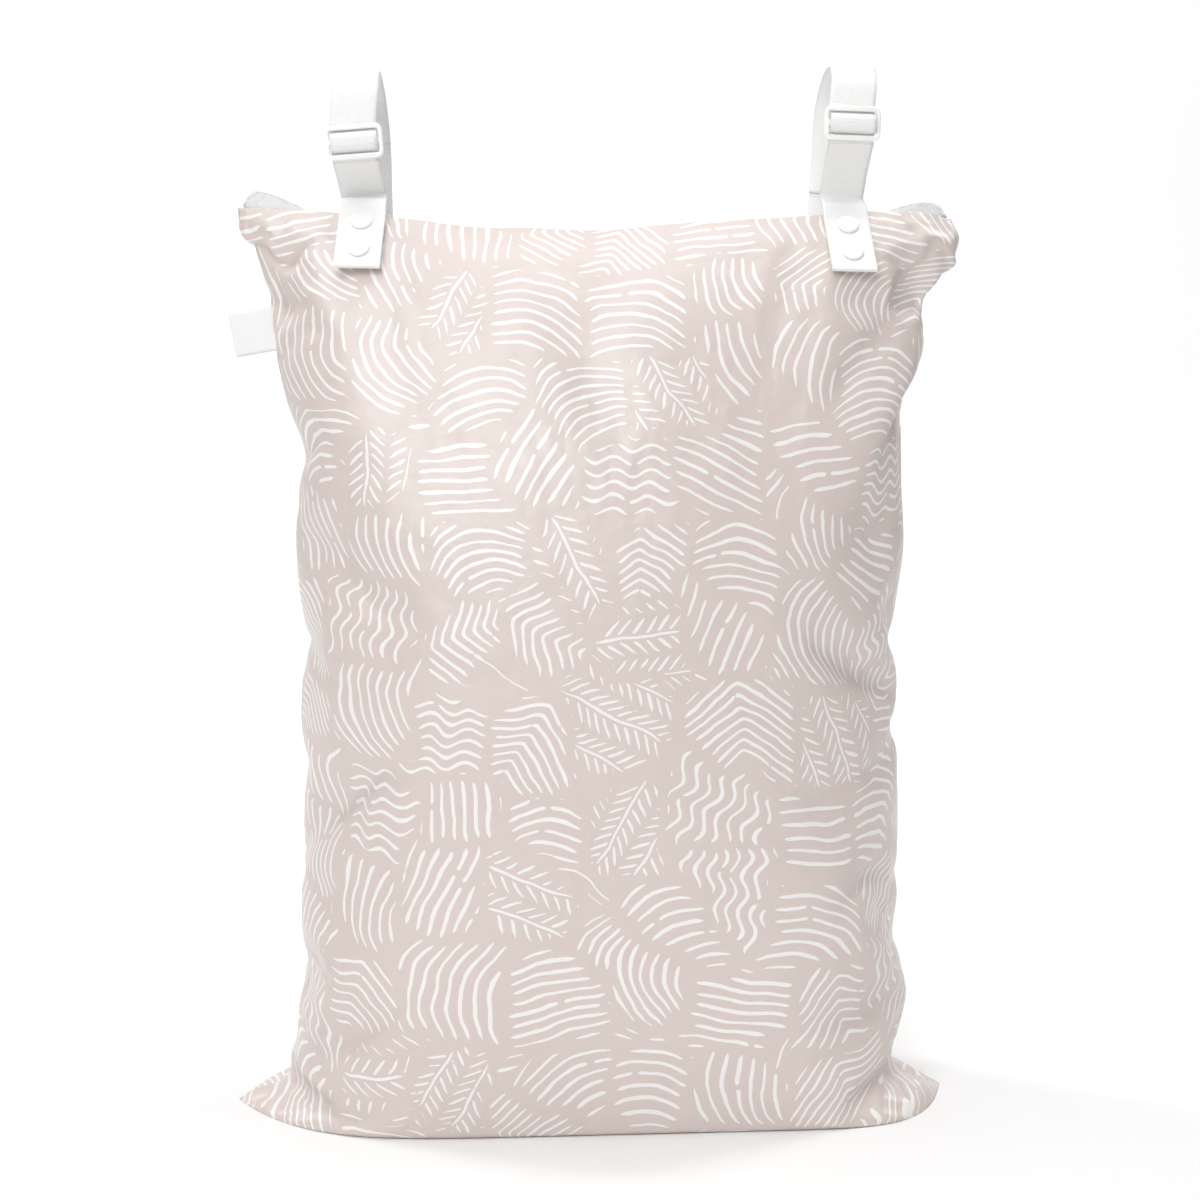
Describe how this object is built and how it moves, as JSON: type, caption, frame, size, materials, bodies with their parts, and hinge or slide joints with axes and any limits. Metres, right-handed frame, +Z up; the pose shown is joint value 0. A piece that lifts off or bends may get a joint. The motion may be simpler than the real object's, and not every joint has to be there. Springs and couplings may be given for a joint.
{
  "type": "zipped wet bag",
  "caption": "Zipped bag of coated cloth for wet laundry, stuffed and standing, with webbing hanging loops that adjust at slide buckles and open at snaps.",
  "frame": {"origin": "on the surface that the bag stands on, in the middle of the bottom seam", "axes": "+Z up, -Y towards the front with its snap tabs, X along the zip"},
  "size_m": [0.414, 0.1714, 0.5833],
  "materials": {
    "cloth": "coated cloth with a soft sheen and a printed pattern of white strokes",
    "zipper_tape": "woven tape",
    "zipper_plastic": "moulded, slightly glossy",
    "label": "woven satin, blank",
    "webbing": "ribbed webbing",
    "snap_tab": "smooth coated tab with stitched edges",
    "buckle_plastic": "glossy",
    "snap_plastic": "glossy"
  },
  "bodies": {
    "root": {"front_panel": "cloth", "back_panel": "cloth", "zipper_tape_front": "zipper_tape", "zipper_tape_back": "zipper_tape", "zipper_teeth": "zipper_plastic", "zipper_slider": "zipper_plastic", "zipper_pull": "zipper_plastic", "side_label": "label", "left_strap_main": "webbing", "left_strap_tail": "webbing", "left_slide_buckle": "buckle_plastic", "left_snap_tab": "snap_tab", "left_snap_cap_lower": "snap_plastic", "left_snap_cap_upper": "snap_plastic", "left_snap_stud_lower": "snap_plastic", "left_snap_stud_upper": "snap_plastic", "right_strap_main": "webbing", "right_strap_tail": "webbing", "right_slide_buckle": "buckle_plastic", "right_snap_tab": "snap_tab", "right_snap_cap_lower": "snap_plastic", "right_snap_cap_upper": "snap_plastic", "right_snap_stud_lower": "snap_plastic", "right_snap_stud_upper": "snap_plastic"}
  },
  "joints": []
}
